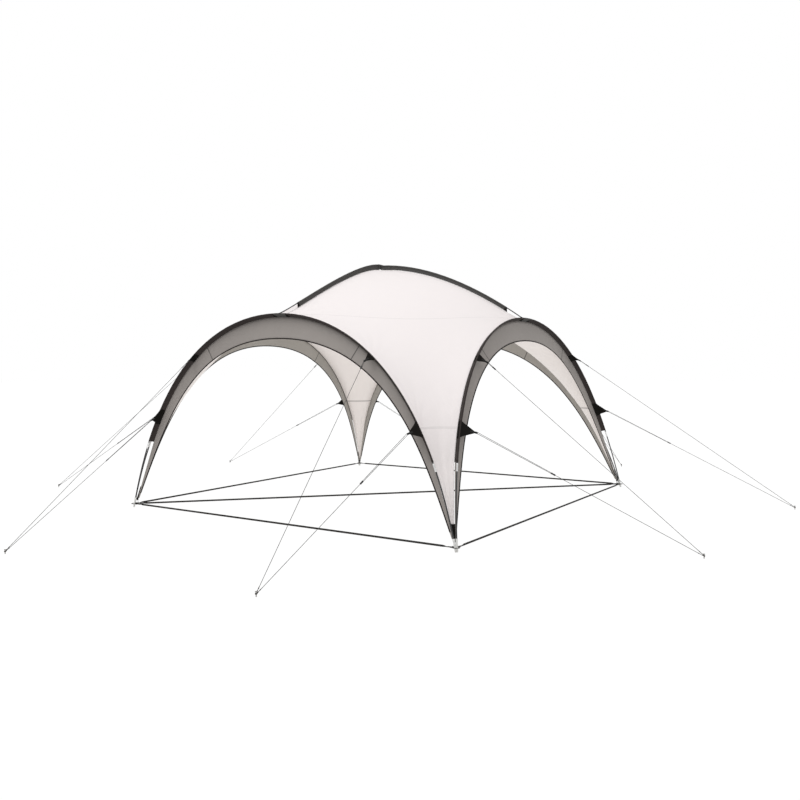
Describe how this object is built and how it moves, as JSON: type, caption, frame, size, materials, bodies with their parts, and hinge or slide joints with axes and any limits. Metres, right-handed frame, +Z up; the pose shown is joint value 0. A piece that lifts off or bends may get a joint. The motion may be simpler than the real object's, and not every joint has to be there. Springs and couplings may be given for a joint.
{
  "type": "camping shelter",
  "caption": "Dome-shaped open camping shelter: cloth roof on bent edge arches and crossing ridge poles, arched openings with valances, ground straps, guy lines and pegs",
  "frame": {"origin": "on the ground, at the middle of the four feet", "axes": "+X to the right and +Z up as seen from the front side, which faces -Y"},
  "size_m": [7.016, 7.1652, 2.3429],
  "materials": {
    "roof_cloth": "matt coated weave",
    "valance_cloth": "matt thin weave",
    "sleeve_cloth": "matt heavy weave",
    "pole_rod": "smooth wound glass fibre",
    "foot_plastic": "satin",
    "strap_webbing": "woven webbing",
    "guy_cord": "braided",
    "peg_steel": "plain"
  },
  "bodies": {
    "root": {"arch_pole_front": "pole_rod", "arch_sleeve_front": "sleeve_cloth", "valance_front": "valance_cloth", "ridge_sleeve_front": "sleeve_cloth", "ground_strap_front": "strap_webbing", "arch_pole_right": "pole_rod", "arch_sleeve_right": "sleeve_cloth", "valance_right": "valance_cloth", "ridge_sleeve_right": "sleeve_cloth", "ground_strap_right": "strap_webbing", "arch_pole_back": "pole_rod", "arch_sleeve_back": "sleeve_cloth", "valance_back": "valance_cloth", "ridge_sleeve_back": "sleeve_cloth", "ground_strap_back": "strap_webbing", "arch_pole_left": "pole_rod", "arch_sleeve_left": "sleeve_cloth", "valance_left": "valance_cloth", "ridge_sleeve_left": "sleeve_cloth", "ground_strap_left": "strap_webbing", "ground_strap_diagonal": "strap_webbing", "ridge_pole_lengthways": "pole_rod", "ridge_pole_crossways": "pole_rod", "roof_panel_front_right": "roof_cloth", "foot_front_right": "foot_plastic", "roof_panel_back_right": "roof_cloth", "foot_back_right": "foot_plastic", "roof_panel_back_left": "roof_cloth", "foot_back_left": "foot_plastic", "roof_panel_front_left": "roof_cloth", "foot_front_left": "foot_plastic", "guy_line_front_left": "guy_cord", "peg_front_left": "peg_steel", "guy_line_front_right": "guy_cord", "peg_front_right": "peg_steel", "guy_line_right_front": "guy_cord", "peg_right_front": "peg_steel", "guy_line_right_back": "guy_cord", "peg_right_back": "peg_steel", "guy_line_back_right": "guy_cord", "peg_back_right": "peg_steel", "guy_line_back_left": "guy_cord", "peg_back_left": "peg_steel", "guy_line_left_back": "guy_cord", "peg_left_back": "peg_steel", "guy_line_left_front": "guy_cord", "peg_left_front": "peg_steel"}
  },
  "joints": []
}
